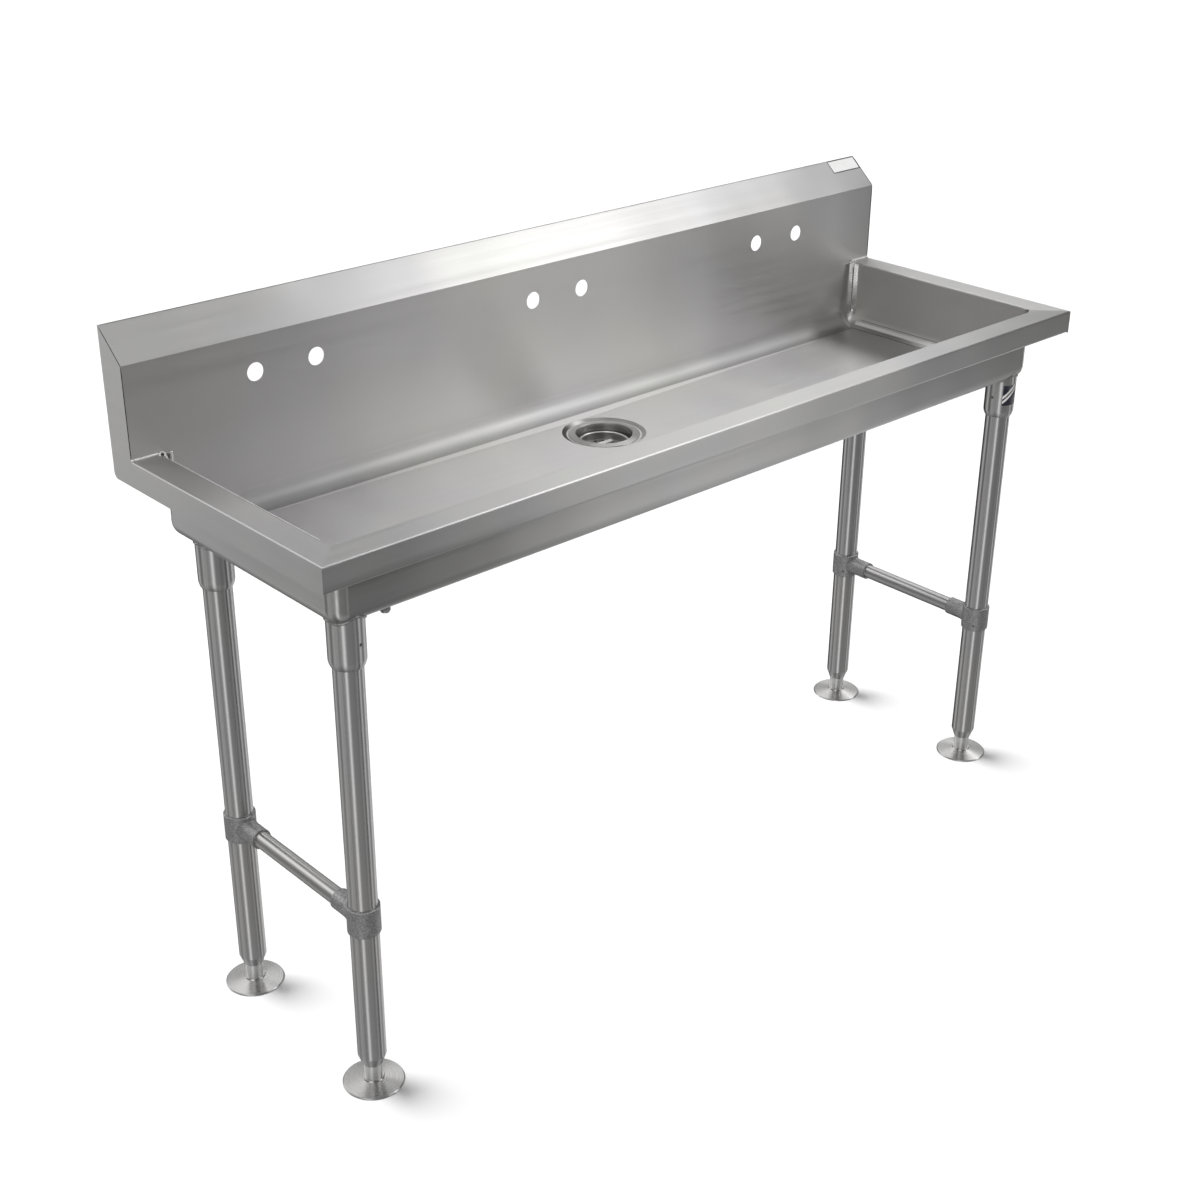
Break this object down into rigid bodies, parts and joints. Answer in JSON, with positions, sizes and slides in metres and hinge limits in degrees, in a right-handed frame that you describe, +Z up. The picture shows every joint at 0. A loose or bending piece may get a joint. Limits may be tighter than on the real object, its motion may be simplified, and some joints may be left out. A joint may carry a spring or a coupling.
{
  "type": "freestanding hand sink",
  "caption": "Long shallow hand-wash sink of brushed steel with a tall splash, paired faucet holes, a basket drain and tube legs with cross braces and adjustable flanged feet.",
  "frame": {"origin": "on the floor under the middle of the sink's length and depth", "axes": "+X along the sink to the right of someone who uses it, -Y towards that person, +Z up"},
  "size_m": [1.524, 0.4952, 1.0414],
  "materials": {
    "sheet_steel": "fine straight brushing",
    "tube_steel": "brushed round the tube",
    "socket_steel": "satin, turned",
    "cast_tee": "matte, as cast",
    "foot_steel": "turned, with radial highlights",
    "screw_steel": "plain",
    "drain_steel": "polished, with turning marks",
    "nut_metal": "as cast",
    "rubber": "matte black",
    "fibre": "pressed fibre"
  },
  "bodies": {
    "sink": {"back_sheet": "sheet_steel", "floor_sheet": "sheet_steel", "front_sheet": "sheet_steel", "left_bowl_end": "sheet_steel", "right_bowl_end": "sheet_steel", "left_end_panel": "sheet_steel", "right_end_panel": "sheet_steel", "underside_stud": "tube_steel", "socket_front_left": "socket_steel", "socket_front_right": "socket_steel", "socket_rear_left": "socket_steel", "socket_rear_right": "socket_steel", "socket_screws": "screw_steel", "leg_front_left": "tube_steel", "leg_front_right": "tube_steel", "leg_rear_left": "tube_steel", "leg_rear_right": "tube_steel", "tee_front_left": "cast_tee", "tee_front_right": "cast_tee", "tee_rear_left": "cast_tee", "tee_rear_right": "cast_tee", "tee_screws": "screw_steel", "cross_tube_left": "tube_steel", "cross_tube_right": "tube_steel", "insert_front_left": "tube_steel", "insert_front_right": "tube_steel", "insert_rear_left": "tube_steel", "insert_rear_right": "tube_steel", "strainer_body": "drain_steel", "outlet_stub": "drain_steel", "drain_gasket": "rubber", "drain_washer": "fibre", "drain_locknut": "nut_metal"},
    "foot_front_left": {"foot_stem_front_left": "tube_steel", "foot_plate_front_left": "foot_steel"},
    "foot_front_right": {"foot_stem_front_right": "tube_steel", "foot_plate_front_right": "foot_steel"},
    "foot_rear_left": {"foot_stem_rear_left": "tube_steel", "foot_plate_rear_left": "foot_steel"},
    "foot_rear_right": {"foot_stem_rear_right": "tube_steel", "foot_plate_rear_right": "foot_steel"},
    "basket": {"strainer_basket": "drain_steel", "basket_lift_bar": "drain_steel", "basket_post": "drain_steel", "basket_stopper": "rubber"}
  },
  "joints": [
    {"name": "foot_front_left_screw", "type": "slide", "parent": "sink", "child": "foot_front_left", "axis": [0, 0, 1], "range_m": [-0.0127, 0.0127]},
    {"name": "foot_front_right_screw", "type": "slide", "parent": "sink", "child": "foot_front_right", "axis": [0, 0, 1], "range_m": [-0.0127, 0.0127]},
    {"name": "foot_rear_left_screw", "type": "slide", "parent": "sink", "child": "foot_rear_left", "axis": [0, 0, 1], "range_m": [-0.0127, 0.0127]},
    {"name": "foot_rear_right_screw", "type": "slide", "parent": "sink", "child": "foot_rear_right", "axis": [0, 0, 1], "range_m": [-0.0127, 0.0127]},
    {"name": "basket_lift", "type": "slide", "parent": "sink", "child": "basket", "axis": [0, 0, 1], "range_m": [0, 0.07]}
  ]
}
